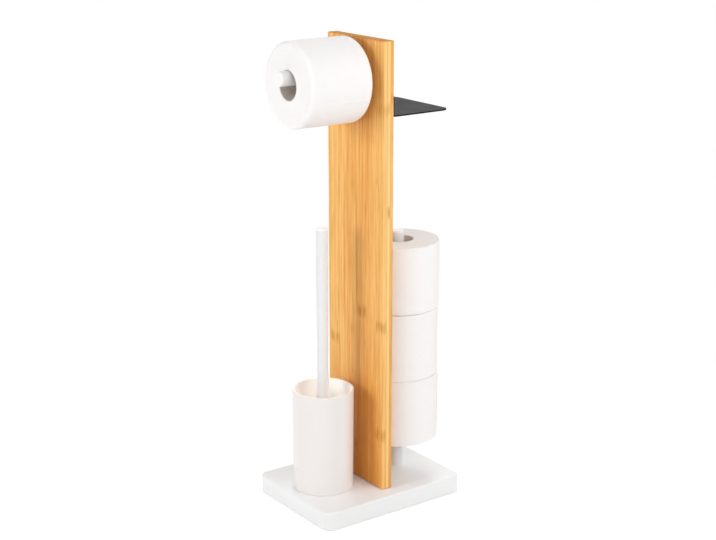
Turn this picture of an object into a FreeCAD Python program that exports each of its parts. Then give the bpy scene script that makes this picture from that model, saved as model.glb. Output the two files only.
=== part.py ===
import FreeCAD
import Part
import os
from types import SimpleNamespace

import Sketcher
from FreeCAD import Placement, Rotation, Vector

# Free-standing bathroom stand: a lacquered base carries a tall bamboo board, a brush in its cup on one
# side and a rod of spare rolls on the other. An arm for the roll in use and a small shelf are screwed
# to the board. Lengths are millimetres. The origin is the middle of the base on the floor, with +X from
# the brush side to the spare-roll side, +Y from front to back and +Z up.
SIZES = {
    # Base plate and its feet
    "base_length": 233,
    "base_width": 174,
    "base_thickness": 25.5,
    "base_corner_radius": 12,
    "base_edge_round": 2.5,
    "base_foot_round": 1,
    "foot_diameter": 16,
    "foot_height": 1.5,
    "foot_inset": 22,
    # Upright board and what holds it on the base
    "board_width": 129,
    "board_thickness": 16,
    "board_height": 626,
    "board_edge_round": 1.5,
    "dowel_diameter": 8,
    "dowel_length": 30,
    "dowel_spacing": 36,
    "wood_screw_diameter": 5,
    "wood_screw_head": 10,
    "wood_screw_head_height": 3,
    "wood_screw_bite": 36,
    "wood_screw_inset": 23,
    # Machine screws and washers at the ends of the two rods
    "screw_diameter": 6,
    "screw_head": 11,
    "screw_head_height": 3.3,
    "socket_width": 4,
    "socket_depth": 2,
    "washer_diameter": 16,
    "washer_thickness": 1.6,
    "head_recess": 9,
    # Tubes of the roll arm and the spare-roll rod
    "rod_diameter": 20,
    "rod_wall": 1.2,
    "cap_thickness": 3,
    "cap_round": 1.2,
    "spigot_length": 10,
    "insert_length": 18,
    "screw_tip_gap": 5,
    "arm_drop": 46,
    "arm_tip_rise": 15.5,
    "rod_tip_rise": 12.5,
    # Rest disc under the spare rolls
    "rest_height": 48.5,
    "rest_diameter": 64,
    "rest_thickness": 3,
    "rest_round": 1,
    "hub_wall": 5,
    "hub_height": 10,
    "grub_diameter": 4,
    "grub_socket": 2,
    # Paper rolls
    "roll_diameter": 115.5,
    "roll_height": 97,
    "used_roll_round": 7,
    "spare_roll_round": 2.5,
    "core_bore": 39.5,
    "core_wall": 1.2,
    "core_inset": 0.5,
    "arm_roll_gap": 10.5,
    "roll_board_gap": 0.7,
    "roll_lean": 3.05,
    "lower_roll_shift": -1,
    "middle_roll_shift": 1.5,
    "upper_roll_shift": -0.5,
    # Shelf of bent sheet
    "shelf_depth": 96,
    "shelf_length": 125,
    "shelf_thickness": 2,
    "shelf_below_arm": 52.5,
    "flange_height": 28,
    "bend_radius": 2,
    "shelf_corner_radius": 12,
    "flange_corner_radius": 6,
    "shelf_screw_diameter": 4,
    "shelf_screw_head": 8,
    "shelf_screw_head_height": 2.6,
    "shelf_screw_cover": 5,
    "shelf_screw_inset": 23,
    "cross_width": 1.2,
    "cross_depth": 1.4,
    # Brush cup
    "cup_rim_diameter": 86,
    "cup_foot_diameter": 84,
    "cup_height": 145,
    "cup_wall": 3.5,
    "cup_floor": 4,
    "cup_ring_width": 6,
    "cup_ring_recess": 1,
    "cup_foot_round": 2,
    "cup_rim_round": 1,
    "cup_inner_round": 8,
    "cup_gap": 12.7,
    # Brush
    "handle_diameter": 16,
    "handle_wall": 1,
    "brush_headroom": 138.8,
    "handle_insert_length": 20,
    "handle_insert_wall": 2.9,
    "stem_diameter": 12,
    "shoulder_height": 12,
    "bristle_gap": 4.5,
    "bristle_height": 74,
    "bristle_round": 12,
    # Clearances
    "fit_gap": 0.05,
    "thread_gap": 0.05,
    "hole_gap": 0.25,
    "recess_gap": 1,
    "running_gap": 0.3,
}

SPARE_ROLLS = ("lower", "middle", "upper")
UP = Rotation()
DOWN = Rotation(Vector(1, 0, 0), 180)
LEFT = Rotation(Vector(0, 1, 0), -90)
RIGHT = Rotation(Vector(0, 1, 0), 90)
BACK = Rotation(Vector(1, 0, 0), -90)
CROSS_SHARE = 0.6  # reach of a cross slot, as a share of the screw head's radius
ROUND_SHARE = 0.45  # most that a round takes of the wall that it is on
TOLERANCE = 1e-4


class Size:
    """A length that keeps its formula over the sheet beside its present value."""

    def __init__(self, formula, value):
        self.formula = formula
        self.value = value

    def __add__(self, other):
        return Size(f"({self.formula} + {formula_of(other)})", self.value + value_of(other))

    def __sub__(self, other):
        return Size(f"({self.formula} - {formula_of(other)})", self.value - value_of(other))

    def __mul__(self, factor):
        return Size(f"({self.formula} * {factor})", self.value * factor)

    def __truediv__(self, divisor):
        return Size(f"({self.formula} / {divisor})", self.value / divisor)

    def __neg__(self):
        return Size(f"(0 - {self.formula})", -self.value)


def formula_of(size):
    return size.formula if isinstance(size, Size) else str(size)


def value_of(size):
    return size.value if isinstance(size, Size) else float(size)


def within(radius, wall):
    """The radius of a round, held to what its wall can take."""
    most = wall * ROUND_SHARE
    return Size(f"min({radius.formula}; {most.formula})", min(radius.value, most.value))


def make_sheet(doc):
    """Writes the driving sizes into the sheet and returns them as formulas with values."""
    sheet = doc.addObject("Spreadsheet::Sheet", "Sizes")
    for row, (alias, value) in enumerate(SIZES.items(), 1):
        sheet.set(f"A{row}", alias)
        sheet.set(f"B{row}", str(value))
        sheet.setAlias(f"B{row}", alias)
    doc.recompute()
    return SimpleNamespace(**{alias: Size(f"Sizes.{alias}", float(sheet.get(alias))) for alias in SIZES})


def add_places(s):
    """Adds the levels, offsets and radii that several pieces share."""
    s.base_top = s.foot_height + s.base_thickness
    s.board_face = s.board_thickness / 2
    s.board_top = s.base_top + s.board_height
    s.arm_level = s.board_top - s.arm_drop
    s.wood_screw_y = s.board_width / 2 - s.wood_screw_inset
    s.shelf_top = s.arm_level - s.shelf_below_arm
    s.shelf_screw_level = s.shelf_top + s.flange_height / 2
    s.shelf_screw_y = s.shelf_length / 2 - s.shelf_screw_inset
    s.shelf_screw_bite = s.board_thickness - s.shelf_screw_cover
    s.rod_radius = s.rod_diameter / 2
    s.rod_bore = s.rod_radius - s.rod_wall
    s.head_seat = s.foot_height + s.head_recess
    s.roll_radius = s.roll_diameter / 2
    s.core_radius = s.core_bore / 2 + s.core_wall
    s.screw_engagement = s.insert_length - s.screw_tip_gap
    s.arm_reach = s.arm_roll_gap + s.roll_height + s.arm_tip_rise
    s.arm_roll_start = s.board_face + s.arm_roll_gap
    s.arm_roll_level = s.arm_level - s.core_bore / 2 + s.rod_radius + s.running_gap
    s.spare_roll_x = s.board_face + s.roll_board_gap + s.roll_radius
    s.rod_x = s.spare_roll_x - s.roll_lean
    s.rest_level = s.base_top + s.rest_height
    s.rod_length = s.rest_height + s.roll_height * len(SPARE_ROLLS) + s.rod_tip_rise
    s.hub_middle = s.rest_thickness + s.hub_height / 2
    s.cup_x = s.board_face + s.cup_gap + s.cup_rim_diameter / 2
    s.bristle_foot = s.base_top + s.cup_floor + s.running_gap
    s.bristle_top = s.bristle_foot + s.bristle_height
    s.handle_foot = s.bristle_top + s.shoulder_height
    s.handle_top = s.arm_roll_level - s.roll_radius - s.brush_headroom
    s.handle_length = s.handle_top - s.cap_thickness - s.handle_foot
    return s


def bind(item, prop, size):
    item.setExpression(prop, formula_of(size))


def new_body(doc, label, x=0, y=0, z=0, turn=UP):
    """A body whose own origin stands at (x, y, z), turned as given."""
    body = doc.addObject("PartDesign::Body", label)
    body.Label = label
    body.AllowCompound = True
    body.Placement = Placement(Vector(value_of(x), value_of(y), value_of(z)), turn)
    for axis, size in zip("xyz", (x, y, z)):
        bind(body, f"Placement.Base.{axis}", size)
    return body


def plane_of(body, role):
    return next(item for item in body.Origin.OriginFeatures if item.Role == role)


def new_sketch(body, role, lift=0):
    """A sketch on one of the body's own planes, moved along the plane's normal by lift."""
    sketch = body.newObject("Sketcher::SketchObject", f"{body.Name}_outline")
    sketch.AttachmentSupport = [(plane_of(body, role), "")]
    sketch.MapMode = "FlatFace"
    bind(sketch, "AttachmentOffset.Base.z", lift)
    return sketch


def hold(sketch, geometry, point, x, y):
    """Holds a point of the sketch at x and y from the sketch's origin."""
    for kind, axis, size in (("DistanceX", -2, x), ("DistanceY", -1, y)):
        if not isinstance(size, Size) and size == 0:
            sketch.addConstraint(Sketcher.Constraint("PointOnObject", geometry, point, axis))
            continue
        rule = Sketcher.Constraint(kind, -1, 1, geometry, point, value_of(size))
        index = sketch.addConstraint(rule)
        bind(sketch, f"Constraints[{index}]", size)


def add_outline(sketch, points):
    """Draws a closed outline of straight lines through the points."""
    first = sketch.GeometryCount
    count = len(points)
    corners = [Vector(value_of(x), value_of(y), 0) for x, y in points]
    for i in range(count):
        sketch.addGeometry(Part.LineSegment(corners[i], corners[(i + 1) % count]), False)
    for i in range(count):
        after = first + (i + 1) % count
        sketch.addConstraint(Sketcher.Constraint("Coincident", first + i, 2, after, 1))
    for i, (x, y) in enumerate(points):
        hold(sketch, first + i, 1, x, y)


def add_circle(sketch, x, y, radius):
    centre = Vector(value_of(x), value_of(y), 0)
    index = sketch.addGeometry(Part.Circle(centre, Vector(0, 0, 1), radius.value), False)
    hold(sketch, index, 3, x, y)
    rule = sketch.addConstraint(Sketcher.Constraint("Radius", index, radius.value))
    bind(sketch, f"Constraints[{rule}]", radius)


def box_points(half_x, half_y):
    return [(-half_x, -half_y), (half_x, -half_y), (half_x, half_y), (-half_x, half_y)]


def pad(body, sketch, length, midplane=False):
    feature = body.newObject("PartDesign::Pad", f"{body.Name}_pad")
    feature.Profile = sketch
    feature.Midplane = midplane
    bind(feature, "Length", length)
    sketch.Document.recompute()
    return feature


def cut(body, sketch, depth, upward=False):
    """Cuts the sketch into the body, against its normal or along it, and tests that it did."""
    doc = body.Document
    doc.recompute()
    before = body.Shape.Volume
    feature = body.newObject("PartDesign::Pocket", f"{body.Name}_cut")
    feature.Profile = sketch
    feature.Reversed = upward
    bind(feature, "Length", depth)
    doc.recompute()
    if body.Shape.Volume > before - TOLERANCE:
        raise RuntimeError(f"{feature.Name} removes nothing")
    return feature


def turn_profile(body, points, lift=0):
    """Turns an outline of (radius, height) points about the body's own Z."""
    sketch = new_sketch(body, "XZ_Plane", lift)
    add_outline(sketch, points)
    feature = body.newObject("PartDesign::Revolution", f"{body.Name}_turn")
    feature.Profile = sketch
    feature.ReferenceAxis = (sketch, ["V_Axis"])
    feature.Angle = 360
    body.Document.recompute()
    return feature


def mirror_pair(body, features):
    """Repeats the features on the other side of the body's XZ plane."""
    feature = body.newObject("PartDesign::Mirrored", f"{body.Name}_pair")
    feature.Originals = features
    feature.MirrorPlane = (plane_of(body, "XZ_Plane"), [""])
    body.Tip = feature
    body.Document.recompute()


def round_edges(body, radius, wanted):
    """Rounds the edges of the body's last feature for which wanted(edge) is true."""
    body.Document.recompute()
    base = body.Tip
    names = [f"Edge{i}" for i, edge in enumerate(base.Shape.Edges, 1) if wanted(edge)]
    if not names:
        raise RuntimeError(f"{body.Name} has no such edge to round")
    feature = body.newObject("PartDesign::Fillet", f"{body.Name}_round")
    feature.Base = (base, names)
    bind(feature, "Radius", radius)
    body.Document.recompute()
    return feature


def near(value, size):
    return abs(value - value_of(size)) < TOLERANCE


def ring_at(radius, height):
    """Picks the round edge of a turned body with this radius at this height."""

    def wanted(edge):
        if not isinstance(edge.Curve, Part.Circle):
            return False
        return near(edge.Curve.Radius, radius) and near(edge.Curve.Center.z, height)

    return wanted


def level_at(height):
    """Picks the edges that lie wholly at this height."""

    def wanted(edge):
        box = edge.BoundBox
        return near(box.ZMin, height) and near(box.ZMax, height)

    return wanted


def upright(edge):
    """Picks the straight edges along Z."""
    box = edge.BoundBox
    return box.XLength < TOLERANCE and box.YLength < TOLERANCE


def along_y(edge):
    """Picks the straight edges along Y."""
    box = edge.BoundBox
    return box.XLength < TOLERANCE and box.ZLength < TOLERANCE


def along_x(edge):
    """Picks the straight edges along X."""
    box = edge.BoundBox
    return box.YLength < TOLERANCE and box.ZLength < TOLERANCE


def tube_points(inner, outer, low, high):
    return [(inner, low), (outer, low), (outer, high), (inner, high)]


def pin_points(radius, low, high):
    return [(0, low), (radius, low), (radius, high), (0, high)]


def hexagon_points(width):
    """Corners of a hexagon by its width across flats, with two corners on the X axis."""
    flat = width / 2
    corner = Size(f"({width.formula} / sqrt(3))", width.value / 3**0.5)
    half = corner / 2
    return [(corner, 0), (half, flat), (-half, flat), (-corner, 0), (-half, -flat), (half, -flat)]


def cross_points(reach, half, y):
    """Corners of a cross slot about (0, y), with arms of the given reach and half width."""
    right = [(half, -half), (reach, -half), (reach, half), (half, half)]
    back = [(half, reach), (-half, reach)]
    left = [(-half, half), (-reach, half), (-reach, -half), (-half, -half)]
    front = [(-half, -reach), (half, -reach)]
    return [(corner_x, y + corner_y) for corner_x, corner_y in right + back + left + front]


def base_plate(doc, s):
    """Lacquered board with round corners, bored for the upright's dowels and screws and for the rod."""
    body = new_body(doc, "base_plate", z=s.foot_height)
    plan = new_sketch(body, "XY_Plane")
    add_outline(plan, box_points(s.base_length / 2, s.base_width / 2))
    pad(body, plan, s.base_thickness)
    round_edges(body, s.base_corner_radius, upright)
    round_edges(body, s.base_edge_round, level_at(s.base_thickness))
    round_edges(body, s.base_foot_round, level_at(0))

    dowels = new_sketch(body, "XY_Plane", s.base_thickness)
    passages = new_sketch(body, "XY_Plane")
    recesses = new_sketch(body, "XY_Plane")
    for side in (-1, 1):
        add_circle(dowels, 0, s.dowel_spacing * (side / 2), s.dowel_diameter / 2 + s.fit_gap)
        add_circle(passages, 0, s.wood_screw_y * side, s.wood_screw_diameter / 2 + s.hole_gap)
        add_circle(recesses, 0, s.wood_screw_y * side, s.wood_screw_head / 2 + s.recess_gap)
    add_circle(passages, s.rod_x, 0, s.screw_diameter / 2 + s.hole_gap)
    add_circle(recesses, s.rod_x, 0, s.washer_diameter / 2 + s.recess_gap)
    cut(body, dowels, s.dowel_length / 2 + s.hole_gap)
    cut(body, passages, s.base_thickness, upward=True)
    cut(body, recesses, s.head_recess, upward=True)
    return body


def base_feet(doc, s):
    """Four round rubber pads under the corners of the base."""
    body = new_body(doc, "base_feet")
    plan = new_sketch(body, "XY_Plane")
    for side_x in (-1, 1):
        for side_y in (-1, 1):
            foot_x = (s.base_length / 2 - s.foot_inset) * side_x
            foot_y = (s.base_width / 2 - s.foot_inset) * side_y
            add_circle(plan, foot_x, foot_y, s.foot_diameter / 2)
    pad(body, plan, s.foot_height)
    return body


def upright_board(doc, s):
    """Bamboo board across the middle of the base, bored for everything that is fixed to it."""
    body = new_body(doc, "upright_board", z=s.base_top)
    plan = new_sketch(body, "XY_Plane")
    add_outline(plan, box_points(s.board_face, s.board_width / 2))
    pad(body, plan, s.board_height)
    round_edges(body, s.board_edge_round, lambda edge: True)

    dowels = new_sketch(body, "XY_Plane")
    pilots = new_sketch(body, "XY_Plane")
    for side in (-1, 1):
        add_circle(dowels, 0, s.dowel_spacing * (side / 2), s.dowel_diameter / 2 + s.fit_gap)
        add_circle(pilots, 0, s.wood_screw_y * side, s.wood_screw_diameter / 2 + s.thread_gap)
    cut(body, dowels, s.dowel_length / 2 + s.hole_gap, upward=True)
    cut(body, pilots, s.wood_screw_bite + s.hole_gap, upward=True)

    arm_hole = new_sketch(body, "YZ_Plane", s.board_face)
    add_circle(arm_hole, 0, s.arm_level - s.base_top, s.screw_diameter / 2 + s.hole_gap)
    cut(body, arm_hole, s.board_thickness)
    shelf_pilots = new_sketch(body, "YZ_Plane", s.board_face)
    for side in (-1, 1):
        pilot_radius = s.shelf_screw_diameter / 2 + s.thread_gap
        pilot_level = s.shelf_screw_level - s.base_top
        add_circle(shelf_pilots, s.shelf_screw_y * side, pilot_level, pilot_radius)
    cut(body, shelf_pilots, s.shelf_screw_bite + s.hole_gap)
    return body


def board_dowels(doc, s):
    """Two wooden dowels, half in the base and half in the board."""
    body = new_body(doc, "board_dowels", z=s.base_top - s.dowel_length / 2)
    plan = new_sketch(body, "XY_Plane")
    for side in (-1, 1):
        add_circle(plan, 0, s.dowel_spacing * (side / 2), s.dowel_diameter / 2)
    pad(body, plan, s.dowel_length)
    return body


def screw_points(shank, length, head, head_height):
    """Outline of a round-headed screw whose head sits on height 0 and whose shank hangs below."""
    return [(0, -length), (shank, -length), (shank, 0), (head, 0), (head, head_height), (0, head_height)]


def screw_pair(doc, s, label, place, turn, aside, shank, length, head, head_height):
    """Two cross-slotted wood screws, each set aside from the body's XZ plane by the same length."""
    body = new_body(doc, label, *place, turn)
    shape = turn_profile(body, screw_points(shank, length, head, head_height), lift=aside)
    slot = new_sketch(body, "XY_Plane", head_height)
    add_outline(slot, cross_points(head * CROSS_SHARE, s.cross_width / 2, -aside))
    mirror_pair(body, [shape, cut(body, slot, s.cross_depth)])
    return body


def board_screws(doc, s):
    """Two wood screws from below, through the base into the end grain of the board."""
    length = s.base_thickness - s.head_recess + s.wood_screw_bite
    return screw_pair(
        doc, s, "board_screws", (0, 0, s.head_seat), DOWN, s.wood_screw_y,
        s.wood_screw_diameter / 2, length, s.wood_screw_head / 2, s.wood_screw_head_height,
    )


def cap_points(s, radius, plug, seat):
    """Outline of an end cap that lies on a tube's end at height seat, with a spigot of radius plug."""
    low = seat - s.spigot_length
    top = seat + s.cap_thickness
    return [(0, low), (plug, low), (plug, seat), (radius, seat), (radius, top), (0, top)]


def rod_pieces(doc, s, label, place, turn, length, screw_grip, seat):
    """A capped tube with a threaded insert at its foot, and the screw and washer that hold it.

    The tube stands at place and runs along turn. The screw comes from the other side, over
    screw_grip of material, and its washer lies on seat, which faces away from the tube.
    """
    tube_length = length - s.cap_thickness
    plug = s.rod_bore - s.fit_gap
    screw = s.screw_diameter / 2
    back = turn.multiply(DOWN)

    tube = new_body(doc, label, *place, turn)
    turn_profile(tube, tube_points(s.rod_bore, s.rod_radius, 0, tube_length))

    insert = new_body(doc, f"{label}_insert", *place, turn)
    turn_profile(insert, tube_points(screw + s.thread_gap, plug, 0, s.insert_length))

    cap = new_body(doc, f"{label}_cap", *place, turn)
    turn_profile(cap, cap_points(s, s.rod_radius, plug, tube_length))
    round_edges(cap, within(s.cap_round, s.cap_thickness), ring_at(s.rod_radius, length))

    washer = new_body(doc, f"{label}_washer", *seat, back)
    turn_profile(washer, tube_points(screw + s.hole_gap, s.washer_diameter / 2, 0, s.washer_thickness))

    bolt = new_body(doc, f"{label}_screw", *seat, back)
    shank = screw_points(screw, screw_grip + s.screw_engagement, s.screw_head / 2, s.screw_head_height)
    turn_profile(bolt, [(radius, s.washer_thickness + height) for radius, height in shank])
    socket = new_sketch(bolt, "XY_Plane", s.washer_thickness + s.screw_head_height)
    add_outline(socket, hexagon_points(s.socket_width))
    cut(bolt, socket, s.socket_depth)
    return [tube, insert, cap, washer, bolt]


def roll_arm(doc, s):
    """Arm for the roll in use, straight out from the board towards the brush side."""
    grip = s.washer_thickness + s.board_thickness
    place = (-s.board_face, 0, s.arm_level)
    return rod_pieces(doc, s, "roll_arm", place, LEFT, s.arm_reach, grip, (s.board_face, 0, s.arm_level))


def spare_rod(doc, s):
    """Upright rod for the spare rolls, held from below the base."""
    grip = s.washer_thickness + s.base_thickness - s.head_recess
    place = (s.rod_x, 0, s.base_top)
    return rod_pieces(doc, s, "spare_rod", place, UP, s.rod_length, grip, (s.rod_x, 0, s.head_seat))


def roll_rest(doc, s):
    """Disc on a hub that keeps the spare rolls off the base, clamped to the rod by a grub screw."""
    body = new_body(doc, "roll_rest", s.rod_x, 0, s.rest_level)
    bore = s.rod_radius + s.fit_gap
    hub = bore + s.hub_wall
    low = -(s.rest_thickness + s.hub_height)
    rim = s.rest_diameter / 2
    under = -s.rest_thickness
    turn_profile(body, [(bore, low), (hub, low), (hub, under), (rim, under), (rim, 0), (bore, 0)])
    rim_round = within(s.rest_round, s.rest_thickness)
    round_edges(body, rim_round, lambda edge: ring_at(rim, 0)(edge) or ring_at(rim, under)(edge))
    hole = new_sketch(body, "XZ_Plane")
    add_circle(hole, 0, -s.hub_middle, s.grub_diameter / 2 + s.thread_gap)
    cut(body, hole, rim)

    grub = new_body(doc, "roll_rest_grub_screw", s.rod_x, bore, s.rest_level - s.hub_middle, BACK)
    turn_profile(grub, pin_points(s.grub_diameter / 2, 0, s.hub_wall))
    socket = new_sketch(grub, "XY_Plane", s.hub_wall)
    add_outline(socket, hexagon_points(s.grub_socket))
    cut(grub, socket, s.socket_depth)
    return [body, grub]


def shelf_tray(doc, s):
    """Small shelf bent from sheet, with a flange up the board."""
    body = new_body(doc, "shelf_tray", s.board_face, 0, s.shelf_top)
    sheet = s.shelf_thickness
    profile = new_sketch(body, "XZ_Plane")
    add_outline(profile, [(0, -sheet), (s.shelf_depth, -sheet), (s.shelf_depth, 0), (sheet, 0),
                          (sheet, s.flange_height), (0, s.flange_height)])
    pad(body, profile, s.shelf_length, midplane=True)

    def bend(x, z):
        return lambda edge: along_y(edge) and near(edge.BoundBox.XMax, x) and near(edge.BoundBox.ZMax, z)

    def free_corner(edge):
        return upright(edge) and near(edge.BoundBox.XMax, s.shelf_depth)

    def flange_corner(edge):
        return along_x(edge) and near(edge.BoundBox.ZMax, s.flange_height)

    round_edges(body, s.bend_radius, bend(sheet, 0))
    round_edges(body, s.bend_radius + sheet, bend(0, -sheet))
    round_edges(body, s.shelf_corner_radius, free_corner)
    round_edges(body, s.flange_corner_radius, flange_corner)

    holes = new_sketch(body, "YZ_Plane", sheet)
    for side in (-1, 1):
        hole_radius = s.shelf_screw_diameter / 2 + s.hole_gap
        add_circle(holes, s.shelf_screw_y * side, s.flange_height / 2, hole_radius)
    cut(body, holes, sheet)

    seat = (s.board_face + sheet, 0, s.shelf_screw_level)
    screws = screw_pair(
        doc, s, "shelf_tray_screws", seat, RIGHT, s.shelf_screw_y, s.shelf_screw_diameter / 2,
        sheet + s.shelf_screw_bite, s.shelf_screw_head / 2, s.shelf_screw_head_height,
    )
    return [body, screws]


def brush_cup(doc, s):
    """Slightly tapered cup that stands on the base and holds the brush."""
    body = new_body(doc, "brush_cup", -s.cup_x, 0, s.base_top)
    foot = s.cup_foot_diameter / 2
    rim = s.cup_rim_diameter / 2
    ring = foot - s.cup_ring_width
    inner_rim = rim - s.cup_wall
    inner_foot = foot - s.cup_wall
    underside = [(0, s.cup_ring_recess), (ring, s.cup_ring_recess), (ring, 0), (foot, 0)]
    wall = [(rim, s.cup_height), (inner_rim, s.cup_height)]
    inside = [(inner_foot, s.cup_floor), (0, s.cup_floor)]
    turn_profile(body, underside + wall + inside)
    round_edges(body, s.cup_foot_round, ring_at(foot, 0))
    round_edges(body, s.cup_inner_round, ring_at(inner_foot, s.cup_floor))
    round_edges(body, within(s.cup_rim_round, s.cup_wall), level_at(s.cup_height))
    return body


def brush(doc, s):
    """Brush that stands in the cup: a capped tube screwed on the stud of a stem with bristles."""
    radius = s.handle_diameter / 2
    bore = radius - s.handle_wall
    plug = bore - s.fit_gap
    stud = plug - s.handle_insert_wall - s.thread_gap
    stud_length = s.handle_insert_length - s.screw_tip_gap
    stem = s.stem_diameter / 2
    tips = s.cup_foot_diameter / 2 - s.cup_wall - s.bristle_gap
    low = -(s.shoulder_height + s.bristle_height)

    handle = new_body(doc, "brush_handle", -s.cup_x, 0, s.handle_foot)
    turn_profile(handle, tube_points(bore, radius, 0, s.handle_length))

    insert = new_body(doc, "brush_handle_insert", -s.cup_x, 0, s.handle_foot)
    turn_profile(insert, tube_points(stud + s.thread_gap, plug, 0, s.handle_insert_length))

    cap = new_body(doc, "brush_handle_cap", -s.cup_x, 0, s.handle_foot)
    turn_profile(cap, cap_points(s, radius, plug, s.handle_length))
    cap_top = s.handle_length + s.cap_thickness
    round_edges(cap, within(s.cap_round, s.cap_thickness), ring_at(radius, cap_top))

    core = new_body(doc, "brush_stem", -s.cup_x, 0, s.handle_foot)
    shoulder = [(0, low), (stem, low), (stem, -s.shoulder_height), (radius, 0)]
    turn_profile(core, shoulder + [(stud, 0), (stud, stud_length), (0, stud_length)])

    bristles = new_body(doc, "brush_bristles", -s.cup_x, 0, s.bristle_foot)
    turn_profile(bristles, tube_points(stem + s.fit_gap, tips, 0, s.bristle_height))
    ends = (ring_at(tips, 0), ring_at(tips, s.bristle_height))
    round_edges(bristles, s.bristle_round, lambda edge: any(end(edge) for end in ends))
    return [handle, insert, cap, core, bristles]


def paper_roll(doc, s, label, place, turn, edge_round):
    """A paper roll on its cardboard core, with soft outer edges."""
    paper = new_body(doc, f"{label}_paper", *place, turn)
    outer = s.roll_radius
    turn_profile(paper, tube_points(s.core_radius + s.fit_gap, outer, 0, s.roll_height))
    ends = (ring_at(outer, 0), ring_at(outer, s.roll_height))
    round_edges(paper, edge_round, lambda edge: any(end(edge) for end in ends))

    core = new_body(doc, f"{label}_core", *place, turn)
    high = s.roll_height - s.core_inset
    turn_profile(core, tube_points(s.core_bore / 2, s.core_radius, s.core_inset, high))
    return [paper, core]


def paper_rolls(doc, s):
    """The roll that hangs on the arm, and the spare rolls stacked on the rest."""
    on_arm = (-s.arm_roll_start, 0, s.arm_roll_level)
    pieces = paper_roll(doc, s, "arm_roll", on_arm, LEFT, s.used_roll_round)
    shifts = (s.lower_roll_shift, s.middle_roll_shift, s.upper_roll_shift)
    for i, (name, shift) in enumerate(zip(SPARE_ROLLS, shifts)):
        place = (s.spare_roll_x, shift, s.rest_level + s.roll_height * i)
        pieces += paper_roll(doc, s, f"spare_roll_{name}", place, UP, s.spare_roll_round)
    return pieces


def check(doc, pieces):
    """Stops the build if any object failed or any piece is not a sound solid."""
    doc.recompute()
    for item in doc.Objects:
        if "Invalid" in item.State or "Error" in item.State:
            raise RuntimeError(f"{item.Name} failed: {item.State}")
    for piece in pieces:
        shape = piece.Shape
        if shape.isNull() or not shape.isValid() or not shape.Solids:
            raise RuntimeError(f"{piece.Label} is not a sound solid")


def main():
    os.makedirs("parts", exist_ok=True)
    doc = FreeCAD.newDocument("toilet_stand")
    s = add_places(make_sheet(doc))
    pieces = [base_plate(doc, s), base_feet(doc, s), upright_board(doc, s), board_dowels(doc, s)]
    pieces += [board_screws(doc, s)]
    pieces += roll_arm(doc, s) + spare_rod(doc, s) + roll_rest(doc, s) + shelf_tray(doc, s)
    pieces += [brush_cup(doc, s)] + brush(doc, s) + paper_rolls(doc, s)
    check(doc, pieces)
    for piece in pieces:
        piece.Shape.exportStep(f"parts/{piece.Label}.step")
        print(f"{piece.Label}: {len(piece.Shape.Solids)} solids, {piece.Shape.Volume:.1f} mm3")


main()
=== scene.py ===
"""Bathroom stand for paper rolls and a brush: its finishes, wound paper, bristles and studio."""

import math

import bpy
import numpy as np
from bpy.props import FloatProperty, FloatVectorProperty, IntProperty, PointerProperty
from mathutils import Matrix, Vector


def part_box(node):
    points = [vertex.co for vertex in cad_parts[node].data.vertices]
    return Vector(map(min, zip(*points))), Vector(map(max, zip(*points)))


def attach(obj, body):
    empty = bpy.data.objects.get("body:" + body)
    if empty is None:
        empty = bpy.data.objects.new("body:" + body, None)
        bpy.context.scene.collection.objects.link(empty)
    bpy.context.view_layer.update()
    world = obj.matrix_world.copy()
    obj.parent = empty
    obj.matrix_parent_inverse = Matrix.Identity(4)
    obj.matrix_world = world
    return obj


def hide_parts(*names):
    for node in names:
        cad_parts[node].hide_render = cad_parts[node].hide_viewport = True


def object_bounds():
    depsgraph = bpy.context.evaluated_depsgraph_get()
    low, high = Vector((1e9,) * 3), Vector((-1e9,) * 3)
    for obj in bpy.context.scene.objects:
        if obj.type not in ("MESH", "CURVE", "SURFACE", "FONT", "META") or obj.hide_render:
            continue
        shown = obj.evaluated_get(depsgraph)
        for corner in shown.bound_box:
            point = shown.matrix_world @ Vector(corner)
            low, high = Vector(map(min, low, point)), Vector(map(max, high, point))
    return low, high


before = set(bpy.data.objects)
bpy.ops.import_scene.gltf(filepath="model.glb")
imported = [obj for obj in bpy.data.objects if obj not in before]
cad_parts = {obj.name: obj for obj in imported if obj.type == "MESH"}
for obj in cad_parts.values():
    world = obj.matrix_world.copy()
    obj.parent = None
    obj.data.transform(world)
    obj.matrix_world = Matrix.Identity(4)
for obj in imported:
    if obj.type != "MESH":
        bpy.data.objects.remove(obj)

bl_info = {
    "name": "Roll and brush stand",
    "version": (1, 0, 0),
    "blender": (4, 5, 0),
    "location": "View3D > Sidebar > Stand",
    "description": "Finishes, wound paper, bristles and a studio for a bathroom stand",
    "category": "Object",
}

CAD_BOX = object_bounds()
MM = 0.001


# Settings

def srgb(red, green, blue):
    """A colour as it shows on a screen, from 0 to 255, as linear light."""
    def linear(part):
        part /= 255
        return part / 12.92 if part <= 0.04045 else ((part + 0.055) / 1.055) ** 2.4
    return linear(red), linear(green), linear(blue)


def colour(name, description, shown):
    """A colour that a user can change."""
    return FloatVectorProperty(
        name=name, description=description, default=srgb(*shown), size=3, min=0, max=1, subtype="COLOR")


def length(name, description, default):
    """A length that a user can change, in metres."""
    return FloatProperty(
        name=name, description=description, default=default, min=0, unit="LENGTH", precision=5)


def share(name, description, default):
    """A part of one that a user can change."""
    return FloatProperty(
        name=name, description=description, default=default, min=0, max=1, subtype="FACTOR")


def angle(name, description, degrees):
    """An angle that a user can change, given in degrees."""
    return FloatProperty(
        name=name, description=description, default=math.radians(degrees), unit="ROTATION")


def count(name, description, default):
    """A number of things that a user can change."""
    return IntProperty(name=name, description=description, default=default, min=1)


def watts(name, description, default):
    """A lamp's power that a user can change."""
    return FloatProperty(name=name, description=description, default=default, min=0, unit="POWER")


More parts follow.
